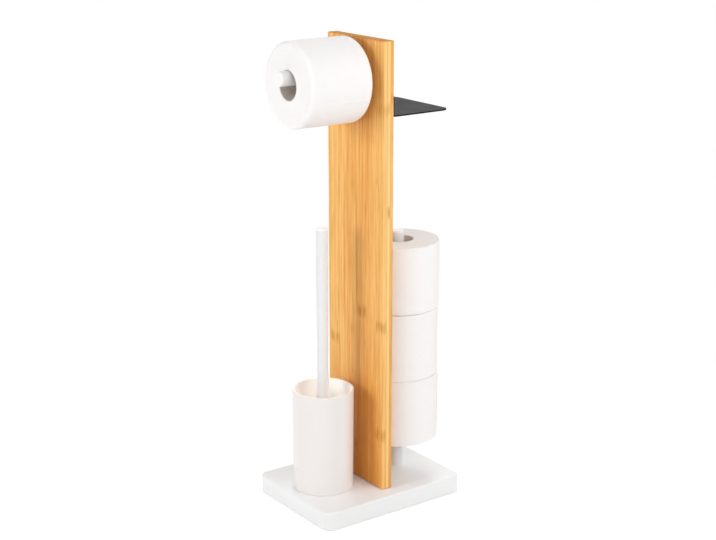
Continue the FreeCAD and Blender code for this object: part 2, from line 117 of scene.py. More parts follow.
class FinishSettings(bpy.types.PropertyGroup):
    """Colours of the plain finishes, by the names of their slots."""

    white_lacquer: colour("Base lacquer", "White lacquer of the base", (240, 240, 240))
    white_steel: colour("Tube paint", "White powder paint of the tubes", (233, 233, 233))
    white_plastic: colour("White plastic", "End caps, rest disc and brush stem", (247, 247, 245))
    cup_plastic: colour("Cup plastic", "Warm white plastic of the cup", (237, 232, 229))
    # Painted light: the cup's inside is painted whiter than its outside and glows though it is no lamp,
    # standing in for light through its thin wall
    cup_inside: colour("Cup inside", "Clear white of the cup's inside", (255, 250, 245))
    cup_glow: share("Cup glow", "Light that comes through the cup's wall to its inside", 0.115)
    black_steel: colour("Shelf paint", "Dark powder paint of the shelf", (35, 35, 38))
    foot_rubber: colour("Foot rubber", "Matt rubber of the feet", (64, 64, 63))
    insert_nylon: colour("Insert nylon", "Dull nylon of the inserts", (204, 204, 200))
    zinc_steel: colour("Zinc", "Zinc plating of the screws", (204, 205, 205))
    dowel_wood: colour("Dowel wood", "Pale wood of the dowels", (220, 190, 148))
    tissue: colour("Tissue", "Paper of the rolls", (249, 247, 246))
    core_card: colour("Core card", "Grey card of the roll cores", (236, 225, 215))
    card_fleck: colour("Card fleck", "Dark flecks in the card of the cores", (112, 98, 84))
    bristle_nylon: colour("Bristles", "White nylon of the bristles", (236, 237, 236))


class BambooSettings(bpy.types.PropertyGroup):
    """Strips, joints and colours of the laminated board."""

    light: colour("Light strip", "Colour of the palest strips", (254, 199, 117))
    dark: colour("Dark strip", "Colour of the darkest strips", (229, 153, 65))
    fibre: colour("Fibre", "Colour of the dark fibre bundles", (184, 108, 34))
    knot: colour("Node mark", "Colour of the marks where the cane had a node", (188, 116, 8))
    core: colour("Core layer", "Colour of the middle layer, seen on the edges", (255, 216, 143))
    strip_width: length("Strip width", "Width of one strip", 21.5 * MM)
    layers: count("Layers", "Layers through the board", 3)
    knot_level: length("Node level", "Height of one row of node marks over the floor", 250 * MM)
    knot_spacing: length("Node spacing", "Distance between the rows of node marks", 157 * MM)
    knot_scatter: length("Node scatter", "How far the marks of a row are out of line", 55 * MM)
    knot_reach: length("Node reach", "How far a node mark spreads along the strip", 13 * MM)
    seam_width: length("Joint width", "Width of the dark line at a glued joint", 0.6 * MM)
    # Painted shade: over this height the board is darkened towards its foot, for the shade of the cup and
    # base
    foot_reach: length("Foot reach", "Height over which the cane is darker towards its foot", 260 * MM)


class RollSettings(bpy.types.PropertyGroup):
    """How the paper is wound."""

    used_round: length("Used roll's round", "Rounding of the soft edges of the roll in use", 6.8 * MM)
    spare_round: length("Spare roll's round", "Rounding of the other edges of the spare rolls", 2.4 * MM)
    seam_round: length("Seam round", "Rounding at the seam between the two upper spare rolls", 4.2 * MM)
    pressed_round: length("Pressed round", "Rounding at the foot of the middle spare roll", 0.1 * MM)
    sheet_length: length("Sheet length", "Distance between two rows of perforation", 120 * MM)
    sheet_step: length("Sheet step", "Height of the step at the loose end of the paper", 0.45 * MM)
    perforation_depth: length("Perforation depth", "Depth of a perforated line", 0.25 * MM)
    slack: length("Slack", "How far the wound surface sinks between its high places", 0.6 * MM)
    winding_pitch: length("Winding pitch", "Distance between the windings that show on the ends", 2.2 * MM)
    winding_depth: length("Winding depth", "How far the windings are out of line on the ends", 0.28 * MM)
    steps_around: count("Steps around", "Mesh steps around a roll", 216)
    steps_along: count("Steps along", "Mesh steps along the outside of a roll", 44)
    steps_across: count("Steps across", "Mesh steps across the end of a roll", 40)
    emboss_pitch: length("Emboss pitch", "Distance between the dots pressed into the paper", 3.4 * MM)


class BrushSettings(bpy.types.PropertyGroup):
    """How the bristles are set."""

    rings: count("Rings", "Rings of tufts along the stem", 10)
    tufts: count("Tufts", "Tufts in one ring", 14)
    filaments: count("Filaments", "Filaments in one tuft", 11)
    filament_width: length("Filament width", "Thickness of one filament", 0.55 * MM)
    tuft_width: length("Tuft width", "Width of a tuft at the stem", 2.6 * MM)
    spread: length("Spread", "How far the tips of one tuft spread", 7 * MM)
    droop: length("Droop", "How far a filament bends out of its line", 1.6 * MM)
    head_round: length("Head round", "Rounding of the trimmed head at both ends", 12 * MM)


class StudioSettings(bpy.types.PropertyGroup):
    """Camera, lamps and floor."""

    focal_length: FloatProperty(
        name="Focal length", description="Camera lens", default=75.42, min=1, unit="CAMERA")
    heading: angle("Heading", "Direction of the view, turned from the back towards the right", 35.833)
    tilt: angle("Tilt", "How far the camera looks down", 15.978)
    distance: length("Distance", "Distance of the camera over the floor", 1.9911)
    aside: FloatProperty(
        name="Aside", description="How far the camera stands to the right of the stand's middle",
        default=-0.0029, unit="LENGTH", precision=5)
    height: length("Height", "Height of the camera", 0.9012)
    ambient: share("Ambient", "Light from all round", 0.43)
    key_power: watts("Key lamp", "Power of the soft lamp on the left", 12.6)
    fill_power: watts("Fill lamp", "Power of the soft lamp in front", 22)
    back_power: watts("Back lamp", "Power of the soft lamp behind, on the right", 10.5)
    top_power: watts("Top lamp", "Power of the soft lamp overhead", 4.5)
    floor_reach: length("Floor reach", "Radius of the floor", 3.0)
    shadow_reach: length("Shadow reach", "Distance at which the floor has gone plain white", 0.9)
    floor_tone: colour("Floor", "Colour of the floor", (244, 244, 244))
    floor_lift: share("Floor lift", "White that the camera sees in the floor under the shadow", 0.4)


class StandSettings(bpy.types.PropertyGroup):
    """All settings of the stand."""

    finishes: PointerProperty(type=FinishSettings, name="Finishes", description="Plain finishes")
    bamboo: PointerProperty(type=BambooSettings, name="Bamboo", description="Laminated board")
    rolls: PointerProperty(type=RollSettings, name="Rolls", description="Wound paper")
    brush: PointerProperty(type=BrushSettings, name="Brush", description="Bristles")
    studio: PointerProperty(type=StudioSettings, name="Studio", description="Camera, lamps and floor")


def settings():
    """The settings of this scene's stand."""
    return bpy.context.scene.roll_stand


# Node trees

def put(tree, kind, inputs=None, **values):
    """Adds a node, sets its own values and fills its inputs with numbers or links."""
    made = tree.nodes.new(kind)
    for name, value in values.items():
        setattr(made, name, value)
    for name, value in (inputs or {}).items():
        fill(tree, made.inputs[name], value)
    return made


def fill(tree, socket, value):
    """Gives an input a number, a colour or a link."""
    if isinstance(value, bpy.types.NodeSocket):
        tree.links.new(value, socket)
    elif socket.type == "RGBA" and len(value) == 3:
        socket.default_value = (*value, 1)
    else:
        socket.default_value = value


def fill_in_order(tree, made, values):
    """Fills the first inputs of a node, and gives its outputs."""
    for socket, value in zip(made.inputs, values):
        fill(tree, socket, value)
    return made.outputs


def calc(tree, operation, *values):
    """A math node on one, two or three values, by its result."""
    return fill_in_order(tree, put(tree, "ShaderNodeMath", operation=operation), values)[0]


def vector_calc(tree, operation, *values):
    """A vector math node on one or two vectors, by its outputs."""
    return fill_in_order(tree, put(tree, "ShaderNodeVectorMath", operation=operation), values)


def swing(tree, noise):
    """How far noise from 0 to 1 is off its middle."""
    return calc(tree, "SUBTRACT", noise, 0.5)


def between(tree, chance, low, high):
    """A chance from 0 to 1 as a value from low to high."""
    return calc(tree, "MULTIPLY_ADD", chance, high - low, low)


def ease(tree, value, start, end, low=0.0, high=1.0):
    """A smooth step of a value from low at start to high at end."""
    inputs = {"Value": value, "From Min": start, "From Max": end, "To Min": low, "To Max": high}
    return put(tree, "ShaderNodeMapRange", inputs, interpolation_type="SMOOTHSTEP").outputs[0]


def blend(tree, amount, first, second):
    """A mix of two colours."""
    made = put(tree, "ShaderNodeMix", data_type="RGBA", clamp_factor=True)
    fill(tree, made.inputs[0], amount)
    fill(tree, made.inputs[6], first)
    fill(tree, made.inputs[7], second)
    return made.outputs[2]


def dimmed(tree, tone, level):
    """A colour times a level."""
    made = put(tree, "ShaderNodeVectorMath", {"Scale": level}, operation="SCALE")
    fill(tree, made.inputs[0], tone)
    return made.outputs[0]


def combine(tree, x, y, z):
    """A vector of three values."""
    return put(tree, "ShaderNodeCombineXYZ", {"X": x, "Y": y, "Z": z}).outputs[0]


def split(tree, vector):
    """The three values of a vector, by the names of its axes."""
    return put(tree, "ShaderNodeSeparateXYZ", {"Vector": vector}).outputs


def stretch(tree, vector, x, y, z):
    """A vector scaled along each axis."""
    return vector_calc(tree, "MULTIPLY", vector, combine(tree, x, y, z))[0]


def cloud(tree, vector, scale, detail=2.0, roughness=0.5):
    """Noise from 0 to 1 over a vector."""
    inputs = {"Vector": vector, "Scale": scale, "Detail": detail, "Roughness": roughness}
    return put(tree, "ShaderNodeTexNoise", inputs).outputs[0]


def chances(tree, x, y, z):
    """Three random numbers for a cell."""
    noise = put(tree, "ShaderNodeTexWhiteNoise", {"Vector": combine(tree, x, y, z)}, noise_dimensions="3D")
    return put(tree, "ShaderNodeSeparateColor", {"Color": noise.outputs["Color"]}).outputs


def rest_place(tree):
    """The place on the piece, in metres, which rides with it."""
    return put(tree, "ShaderNodeTexCoord").outputs["Object"]


# Shared effects, with the teeth in a cloud of gloss and the flecks to one paper fibre

SOCKETS = {"Vector": "NodeSocketVector", "Color": "NodeSocketColor"}
GLOSS_TEETH = 14.0
FLECK_SHARE = 0.35


def make_group(name, inputs, outputs):
    """A shader node group with its two ends, whose sockets are values unless their names say otherwise."""
    tree = bpy.data.node_groups.new(name, "ShaderNodeTree")
    for way, labels in (("INPUT", inputs), ("OUTPUT", outputs)):
        for label in labels:
            kind = SOCKETS.get(label, "NodeSocketFloat")
            tree.interface.new_socket(label, in_out=way, socket_type=kind)
    return tree, put(tree, "NodeGroupInput").outputs, put(tree, "NodeGroupOutput").inputs


def group_mottle():
    """Soft clouds of lighter and darker tone over a colour."""
    tree, given, result = make_group("Mottle", ("Vector", "Color", "Scale", "Amount"), ("Color",))
    clouds = cloud(tree, given["Vector"], given["Scale"], detail=3.0, roughness=0.6)
    level = calc(tree, "MULTIPLY_ADD", swing(tree, clouds), given["Amount"], 1.0)
    fill(tree, result["Color"], dimmed(tree, given["Color"], level))
    return tree


def group_fine_grain():
    """Fine tooth of a moulded or sprayed surface, with a gloss that varies in broader clouds."""
    tree, given, result = make_group(
        "Fine grain", ("Vector", "Scale", "Roughness", "Spread"), ("Height", "Roughness"))
    tooth = cloud(tree, given["Vector"], given["Scale"], detail=3.0, roughness=0.6)
    broad = cloud(tree, given["Vector"], calc(tree, "DIVIDE", given["Scale"], GLOSS_TEETH))
    gloss = calc(tree, "MULTIPLY_ADD", swing(tree, broad), given["Spread"], given["Roughness"])
    fill(tree, result["Height"], tooth)
    fill(tree, result["Roughness"], gloss)
    return tree


def group_long_fibres():
    """Fibres that run along Z, so many to the metre across and along."""
    tree, given, result = make_group("Long fibres", ("Vector", "Across", "Along"), ("Value",))
    drawn = stretch(tree, given["Vector"], given["Across"], given["Across"], given["Along"])
    fill(tree, result["Value"], cloud(tree, drawn, scale=1.0, roughness=0.55))
    return tree


def group_paper_fibres():
    """Matted fibres of paper and card, with flecks."""
    tree, given, result = make_group("Paper fibres", ("Vector", "Scale"), ("Height", "Fleck"))
    felt = put(tree, "ShaderNodeTexNoise", {
        "Vector": given["Vector"], "Scale": given["Scale"], "Detail": 4.0, "Distortion": 1.2})
    flecks = calc(tree, "MULTIPLY", given["Scale"], FLECK_SHARE)
    speck = cloud(tree, given["Vector"], flecks, roughness=0.7)
    fill(tree, result["Height"], felt.outputs[0])
    fill(tree, result["Fleck"], ease(tree, speck, start=0.58, end=0.72))
    return tree


GROUPS = {
    "Mottle": group_mottle,
    "Fine grain": group_fine_grain,
    "Long fibres": group_long_fibres,
    "Paper fibres": group_paper_fibres,
}


def use_group(tree, name, **inputs):
    """Places a shared effect in a material with its own values, and gives its outputs."""
    group = bpy.data.node_groups.get(name) or GROUPS[name]()
    return put(tree, "ShaderNodeGroup", inputs, node_tree=group).outputs


# Coated and moulded finishes: gloss and how far it varies, teeth to a metre and their depth, tone clouds

COATS = {
    "white_lacquer": dict(roughness=0.36, spread=0.12, grain=420.0, depth=0.05 * MM, cloudiness=0.02),
    "white_steel": dict(roughness=0.42, spread=0.14, grain=900.0, depth=0.06 * MM, cloudiness=0.03),
    "white_plastic": dict(roughness=0.46, spread=0.1, grain=1600.0, depth=0.03 * MM, cloudiness=0.03),
    "cup_plastic": dict(roughness=0.3, spread=0.1, grain=1100.0, depth=0.025 * MM, cloudiness=0.03),
    "black_steel": dict(roughness=0.66, spread=0.16, grain=1300.0, depth=0.09 * MM, cloudiness=0.16),
    "foot_rubber": dict(roughness=0.82, spread=0.1, grain=1500.0, depth=0.05 * MM, cloudiness=0.12),
    "insert_nylon": dict(roughness=0.56, spread=0.1, grain=1400.0, depth=0.03 * MM, cloudiness=0.06),
    "zinc_steel": dict(roughness=0.32, spread=0.2, grain=2200.0, depth=0.02 * MM, cloudiness=0.14),
}
COAT_CONSTANTS = {
    "white_lacquer": {"Coat Weight": 0.15},
    "black_steel": {"Specular IOR Level": 0.09},
    "zinc_steel": {"Metallic": 1.0},
}
COAT_CLOUDS = 24.0
RIM_BLUR = 0.3 * MM


def new_finish(name, constants=None):
    """An empty material with its surface shader, whose constants are set on its own sockets."""
    material = bpy.data.materials.new(f"stand_{name}")
    material.use_nodes = True
    tree = material.node_tree
    tree.nodes.clear()
    shader = put(tree, "ShaderNodeBsdfPrincipled", constants)
    put(tree, "ShaderNodeOutputMaterial", {"Surface": shader.outputs[0]})
    return material, tree, shader


def press(tree, shader, height, depth):
    """Raises the surface by a height from 0 to 1 that is depth metres high."""
    bump = put(tree, "ShaderNodeBump", {"Height": height, "Distance": depth, "Strength": 1.0})
    fill(tree, shader.inputs["Normal"], bump.outputs[0])


def coat(tree, shader, tone, roughness, spread, grain, depth, cloudiness):
    """Gives a shader tone clouds, a fine tooth and a gloss that varies."""
    place = rest_place(tree)
    clouds = use_group(tree, "Mottle", Vector=place, Color=tone, Scale=COAT_CLOUDS, Amount=cloudiness)
    tooth = use_group(tree, "Fine grain", Vector=place, Scale=grain, Roughness=roughness, Spread=spread)
    fill(tree, shader.inputs["Base Color"], clouds["Color"])
    fill(tree, shader.inputs["Roughness"], tooth["Roughness"])
    press(tree, shader, tooth["Height"], depth)


def coated(name):
    """A sprayed, moulded or plated finish of one tone."""
    material, tree, shader = new_finish(name, COAT_CONSTANTS.get(name))
    coat(tree, shader, getattr(settings().finishes, name), **COATS[name])
    return material


def cup_outside(tree):
    """Mask of the cup's outside, parted from the inside half way through the rim."""
    low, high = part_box("brush_cup")
    middle = (low + high) / 2
    rim = [
        math.hypot(vertex.co.x - middle.x, vertex.co.y - middle.y)
        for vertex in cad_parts["brush_cup"].data.vertices if vertex.co.z > high.z - MM
    ]
    parting = (min(rim) + max(rim)) / 2
    centred = vector_calc(tree, "SUBTRACT", rest_place(tree), (middle.x, middle.y, 0.0))[0]
    away = vector_calc(tree, "LENGTH", stretch(tree, centred, 1.0, 1.0, 0.0))["Value"]
    return ease(tree, away, start=parting - RIM_BLUR, end=parting + RIM_BLUR)


def cup_plastic():
    """Moulded plastic with a satin skin; its inside is painted whiter and given a painted glow, painted
    light for what comes through the thin wall.
    """
    look = settings().finishes
    no_light = (0.0, 0.0, 0.0)
    material, tree, shader = new_finish("cup_plastic", {"Emission Strength": look.cup_glow})
    outside = cup_outside(tree)
    coat(tree, shader, blend(tree, outside, look.cup_inside, look.cup_plastic), **COATS["cup_plastic"])
    # Painted glow on the inside only, for the light that comes through the thin wall
    fill(tree, shader.inputs["Emission Color"], blend(tree, outside, look.cup_inside, no_light))
    return material


def dowel_wood():
    """Plain pale wood with its grain along the dowel."""
    material, tree, shader = new_finish("dowel_wood")
    place = rest_place(tree)
    tone = settings().finishes.dowel_wood
    clouds = use_group(tree, "Mottle", Vector=place, Color=tone, Scale=60.0, Amount=0.15)["Color"]
    grain = use_group(tree, "Long fibres", Vector=place, Across=900.0, Along=30.0)["Value"]
    streaks = ease(tree, grain, start=0.5, end=0.7, high=0.4)
    fill(tree, shader.inputs["Base Color"], blend(tree, streaks, clouds, settings().bamboo.fibre))
    fill(tree, shader.inputs["Roughness"], ease(tree, grain, start=0.3, end=0.7, low=0.6, high=0.75))
    press(tree, shader, grain, depth=0.1 * MM)
    return material


# Bamboo: fibres at five scales, so many to a metre, and the weight of three of them in a strip's shade

CANE_FIBRES = {
    "broad": {"Across": 120.0, "Along": 2.2},
    "blotch": {"Across": 170.0, "Along": 16.0},
    "streak": {"Across": 330.0, "Along": 5.0},
    "dash": {"Across": 420.0, "Along": 24.0},
    "bundle": {"Across": 1500.0, "Along": 18.0},
}
SHADE_WEIGHTS = {"broad": 1.0, "streak": 1.9, "blotch": 1.1}
STRIP_SEED = 8566.0
MARK_SEED = 759417.0

# Shares of a strip's width by which each layer's joints are set over, and metres that the streaks shift
FIRST_OFFSET = 0.21
LAYER_OFFSET = 0.37
STREAK_SHIFT = 3.0

# The layers reach a little over the board's faces, so that no face lies on the border of a layer
FACE_MARGIN = 1.005

# Shares of paleness on the middle layer and on the cut sides, the latter partly a painted highlight on the
# narrow edges, and of dark and roughness on the end grain
MIDDLE_PALE = 0.75
CUT_SIDE_PALE_AND_HIGHLIGHT = 0.7
PALE_SHADE = 0.3
END_DARK = 0.68
END_ROUGH = 0.95

# Shares of a node mark's reach that its ragged ends take up and that is dark all over
MARK_RAGGED = 0.8
MARK_HEART = 0.1


def cane_strips(tree, look, axes, edge, thickness):
    """The layer and the strip that a place of the board is in, and how far across the strip it is."""
    depth = calc(tree, "DIVIDE", axes["X"], thickness * FACE_MARGIN)
    layer = calc(tree, "FLOOR", calc(tree, "MULTIPLY_ADD", depth, float(look.layers), look.layers / 2))
    across = calc(tree, "DIVIDE", calc(tree, "SUBTRACT", axes["Y"], edge), look.strip_width)
    across = calc(tree, "ADD", calc(tree, "MULTIPLY_ADD", layer, LAYER_OFFSET, FIRST_OFFSET), across)
    return layer, calc(tree, "FLOOR", across), calc(tree, "FRACT", across)


def edge_paleness(tree, look, normal, layer, chance):
    """How pale a place is: the middle layer shows on the edges, and the outer ones are paler on their cut
    sides, partly their own tone and partly a painted highlight for the light on the narrow edges.
    """
    half = look.layers / 2 - 0.5
    off_middle = calc(tree, "ABSOLUTE", calc(tree, "SUBTRACT", layer, half))
    middle = calc(tree, "MULTIPLY", calc(tree, "SUBTRACT", half, off_middle), MIDDLE_PALE)
    to_side = calc(tree, "ABSOLUTE", normal["Y"])
    cut_side_and_highlight = calc(tree, "MULTIPLY", to_side, calc(tree, "SUBTRACT", CUT_SIDE_PALE_AND_HIGHLIGHT, chance))
    return calc(tree, "MAXIMUM", middle, cut_side_and_highlight)


def node_marks(tree, look, height, strip, layer, fibres):
    """Smudges of short dashes where the cane had its nodes, in loose rows across the strips."""
    rows = calc(tree, "DIVIDE", calc(tree, "SUBTRACT", height, look.knot_level), look.knot_spacing)
    rows = calc(tree, "ADD", rows, 0.5)
    row = calc(tree, "FLOOR", rows)
    shift, strength, _ = chances(tree, strip, row, calc(tree, "ADD", layer, MARK_SEED))
    apart = calc(tree, "MULTIPLY", swing(tree, calc(tree, "FRACT", rows)), look.knot_spacing)
    apart = calc(tree, "MULTIPLY_ADD", swing(tree, shift), -look.knot_scatter, apart)
    ragged = calc(tree, "MULTIPLY", swing(tree, fibres["streak"]), MARK_RAGGED * look.knot_reach)
    off = calc(tree, "ABSOLUTE", calc(tree, "ADD", apart, ragged))
    smudge = ease(tree, off, start=MARK_HEART * look.knot_reach, end=look.knot_reach, low=1.0, high=0.0)
    dashes = ease(tree, fibres["dash"], start=0.4, end=0.6, low=0.25, high=1.0)
    depth = ease(tree, strength, start=0.2, end=0.9, high=0.75)
    return calc(tree, "MULTIPLY", calc(tree, "MULTIPLY", smudge, dashes), depth)


def joint_lines(tree, look, depth, within, thickness):
    """Dark lines at the glued joints between the strips and between the layers."""
    side = calc(tree, "MINIMUM", within, calc(tree, "SUBTRACT", 1.0, within))
    side = calc(tree, "MULTIPLY", side, look.strip_width)
    seam = ease(tree, side, start=0.0, end=look.seam_width, low=0.2, high=0.0)
    plane = calc(tree, "SUBTRACT", calc(tree, "ABSOLUTE", depth), thickness / look.layers / 2)
    ply = ease(tree, calc(tree, "ABSOLUTE", plane), start=0.0, end=look.seam_width, low=0.5, high=0.0)
    return calc(tree, "MAXIMUM", seam, ply)


def bamboo():
    """Laminated board of cane strips, with glued joints, node marks and fibre bundles."""
    look = settings().bamboo
    low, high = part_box("upright_board")
    thickness = high.x - low.x
    material, tree, shader = new_finish("bamboo", {"Specular IOR Level": 0.3})
    axes = split(tree, rest_place(tree))
    normal = split(tree, put(tree, "ShaderNodeTexCoord").outputs["Normal"])
    layer, strip, within = cane_strips(tree, look, axes, low.y, thickness)
    own_shade, _, own_shift = chances(tree, strip, layer, STRIP_SEED)

    # Each strip brings its own streaks, shifted along so that they end at its joints
    along = calc(tree, "MULTIPLY_ADD", own_shift, STREAK_SHIFT, axes["Z"])
    shifted = combine(tree, axes["X"], axes["Y"], along)
    fibres = {}
    for name, scale in CANE_FIBRES.items():
        fibres[name] = use_group(tree, "Long fibres", Vector=shifted, **scale)["Value"]

    # A strip's own tone, its streaks, and painted shade that darkens the board towards its foot, where the
    # cup and base shade it
    shade = between(tree, own_shade, low=0.2, high=0.8)
    for name, weight in SHADE_WEIGHTS.items():
        shade = calc(tree, "MULTIPLY_ADD", swing(tree, fibres[name]), weight, shade)
    painted_foot_shade = ease(tree, axes["Z"], start=low.z, end=low.z + look.foot_reach, low=0.45, high=0.0)
    shade = calc(tree, "ADD", shade, painted_foot_shade)
    tone = blend(tree, shade, look.light, look.dark)
    tone = blend(tree, ease(tree, fibres["bundle"], start=0.5, end=0.72, high=0.4), tone, look.fibre)
    tone = blend(tree, ease(tree, fibres["dash"], start=0.62, end=0.74, high=0.4), tone, look.fibre)

    # Pale edges, partly a painted highlight, then the marks, the joints and the end grain over them
    pale = blend(tree, calc(tree, "MULTIPLY", shade, PALE_SHADE), look.core, look.light)
    tone = blend(tree, edge_paleness(tree, look, normal, layer, own_shade), tone, pale)
    knot = node_marks(tree, look, axes["Z"], strip, layer, fibres)
    tone = blend(tree, knot, tone, look.knot)
    tone = blend(tree, joint_lines(tree, look, axes["X"], within, thickness), tone, look.knot)
    end_grain = calc(tree, "ABSOLUTE", normal["Z"])
    tone = blend(tree, calc(tree, "MULTIPLY", end_grain, END_DARK), tone, look.fibre)
    fill(tree, shader.inputs["Base Color"], tone)

    polish = ease(tree, fibres["streak"], start=0.3, end=0.7, low=0.44, high=0.58)
    rough = calc(tree, "MAXIMUM", polish, calc(tree, "MULTIPLY", end_grain, END_ROUGH))
    fill(tree, shader.inputs["Roughness"], rough)
    press(tree, shader, calc(tree, "SUBTRACT", fibres["bundle"], knot), depth=0.042 * MM)
    return material


# Paper: width of a winding on an end, its shade, heights of dots, windings and fibres, darkness of flecks

WINDING_GRAIN = 0.45 * MM
WINDING_SHADE = 0.16
DOT_HEIGHT = -0.6
WINDING_HEIGHT = 0.8
FIBRE_HEIGHT = 0.4
FLECK_DARK = 0.25


def tissue():
    """Soft paper: dots pressed into the outside, windings on the ends, matted fibres all over."""
    look = settings().rolls
    material, tree, shader = new_finish("tissue", {
        "Roughness": 0.92, "Specular IOR Level": 0.25, "Sheen Weight": 0.12, "Sheen Roughness": 0.6})
    place = rest_place(tree)
    ends = put(tree, "ShaderNodeAttribute", attribute_name="ends").outputs["Fac"]
    outside = calc(tree, "SUBTRACT", 1.0, ends)
    run = split(tree, put(tree, "ShaderNodeUVMap", uv_map="wrap").outputs[0])

    wave = math.tau / look.emboss_pitch
    rows = calc(tree, "SINE", calc(tree, "MULTIPLY", run["X"], wave))
    columns = calc(tree, "SINE", calc(tree, "MULTIPLY", run["Y"], wave))
    dots = ease(tree, calc(tree, "MULTIPLY", rows, columns), start=0.1, end=0.8)
    layers = {"W": calc(tree, "DIVIDE", run["Y"], WINDING_GRAIN), "Scale": 1.0, "Detail": 2.0}
    windings = put(tree, "ShaderNodeTexNoise", layers, noise_dimensions="1D").outputs[0]

    tone = settings().finishes.tissue
    clouds = use_group(tree, "Mottle", Vector=place, Color=tone, Scale=60.0, Amount=0.03)["Color"]
    shade = calc(tree, "MULTIPLY", ends, -WINDING_SHADE)
    level = calc(tree, "MULTIPLY_ADD", swing(tree, windings), shade, 1.0)
    fill(tree, shader.inputs["Base Color"], dimmed(tree, clouds, level))

    felt = use_group(tree, "Paper fibres", Vector=place, Scale=1500.0)["Height"]
    relief = calc(tree, "MULTIPLY", dots, calc(tree, "MULTIPLY", outside, DOT_HEIGHT))
    relief = calc(tree, "MULTIPLY_ADD", windings, calc(tree, "MULTIPLY", ends, WINDING_HEIGHT), relief)
    relief = calc(tree, "MULTIPLY_ADD", felt, FIBRE_HEIGHT, relief)
    press(tree, shader, relief, depth=0.22 * MM)
    return material


def core_card():
    """Grey card with flecks."""
    look = settings().finishes
    material, tree, shader = new_finish("core_card", {"Roughness": 0.88})
    place = rest_place(tree)
    fibres = use_group(tree, "Paper fibres", Vector=place, Scale=700.0)
    clouds = use_group(tree, "Mottle", Vector=place, Color=look.core_card, Scale=90.0, Amount=0.18)
    flecks = calc(tree, "MULTIPLY", fibres["Fleck"], FLECK_DARK)
    fill(tree, shader.inputs["Base Color"], blend(tree, flecks, clouds["Color"], look.card_fleck))
    press(tree, shader, fibres["Height"], depth=0.12 * MM)
    return material


def bristle_nylon():
    """Drawn white nylon with a gloss that varies."""
    material, tree, shader = new_finish("bristle_nylon", {"Specular IOR Level": 0.4})
    place = rest_place(tree)
    tone = settings().finishes.bristle_nylon
    clouds = use_group(tree, "Mottle", Vector=place, Color=tone, Scale=240.0, Amount=0.16)
    tooth = use_group(tree, "Fine grain", Vector=place, Scale=900.0, Roughness=0.42, Spread=0.2)
    fill(tree, shader.inputs["Base Color"], clouds["Color"])
    fill(tree, shader.inputs["Roughness"], tooth["Roughness"])
    return material


SPECIAL_FINISHES = {
    maker.__name__: maker for maker in (cup_plastic, dowel_wood, bamboo, tissue, core_card, bristle_nylon)}


def finish(name):
    """The material of a finish, made the first time that it is asked for."""
    made = bpy.data.materials.get(f"stand_{name}")
    if made:
        return made
    return SPECIAL_FINISHES[name]() if name in SPECIAL_FINISHES else coated(name)


def dress(*nodes):
    """Gives each piece the finish of its own slot."""
    for node in nodes:
        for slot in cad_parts[node].material_slots:
            slot.material = finish(slot.material.name.split(".")[0])


def add_object(name, data):
    """Places a mesh, a lamp or a camera in the scene."""
    made = bpy.data.objects.new(name, data)
    bpy.context.scene.collection.objects.link(made)
    return made


def add_piece(name, points, faces, slot):
    """A smooth mesh piece with the finish of a slot."""
    mesh = bpy.data.meshes.new(name)
    mesh.from_pydata([tuple(point) for point in points], [], faces)
    mesh.shade_smooth()
    mesh.update()
    mesh.materials.append(finish(slot))
    piece = add_object(name, mesh)
    return piece


# Paper rolls: axis of the core, degrees at which the loose end lies, start of the random numbers

AXIS_X = 0
AXIS_Z = 2
ROLLS = {
    "arm_roll": {"axis": AXIS_X, "tail": 200, "seed": 20},
    "spare_roll_lower": {"axis": AXIS_Z, "tail": 83, "seed": 21},
    "spare_roll_middle": {"axis": AXIS_Z, "tail": 131, "seed": 22},
    "spare_roll_upper": {"axis": AXIS_Z, "tail": 179, "seed": 23},
}

# Mesh steps round an edge and through the hole, and the width beside the hole where the windings lie flat
EDGE_STEPS = 8
HOLE_STEPS = 6
FLAT_RIM = 3 * MM

# Loose end: the gap behind it, depth of its torn edge, share of a turn beside it without perforation
LOOSE_GAP = 0.4 * MM
TORN_EDGE = 0.35 * MM
UNBROKEN_SHARE = 0.02

# Unevenness: number of waves, and the most of them that one has around a turn and along the roll
SLACK_WAVES = {"waves": 7, "turns": 6, "bends": 2.5}
LEAN_WAVES = {"waves": 4, "turns": 3, "bends": 0.5}
LEAN_SHARE = 0.6
LAYER_WAVES = 5
LAYER_SPEEDS = (0.35, 1.0)


def ripple(rng, waves, turns, bends):
    """A smooth random height from 0 to 1 over a turn and a run along, which closes over the turn."""
    parts = [
        (rng.integers(1, turns + 1), rng.uniform(0, bends), rng.uniform(0, math.tau))
        for _ in range(waves)
    ]

    def height(turn, run):
        total = sum(np.cos(math.tau * (n * turn + m * run) + phase) for n, m, phase in parts)
        return 0.5 + 0.5 * total / waves
    return height


def end_rows(hole, reach, bend, look):
    """One end of a roll from its hole over its rounded edge, as rows of radius, depth and end share."""
    rows = []
    for k in range(look.steps_across):
        rows.append((hole + (reach - bend - hole) * k / look.steps_across, 0.0, 1.0))
    for k in range(EDGE_STEPS):
        turn = math.pi / 2 * k / EDGE_STEPS
        rows.append((reach - bend + bend * math.sin(turn), bend - bend * math.cos(turn), math.cos(turn)))
    return rows


def roll_rows(hole, reach, width, bends, look):
    """The closed outline of a roll, as rows of radius, place along, and share that belongs to an end."""
    first, last = (end_rows(hole, reach, bend, look) for bend in bends)
    run = width - sum(bends)
    skin = [(reach, bends[0] + run * k / look.steps_along, 0.0) for k in range(look.steps_along + 1)]
    last = [(radius, width - along, end) for radius, along, end in reversed(last)]
    inside = [(hole, width * (1 - k / HOLE_STEPS), 1.0) for k in range(1, HOLE_STEPS)]
    return np.array(first + skin + last), np.array(inside)


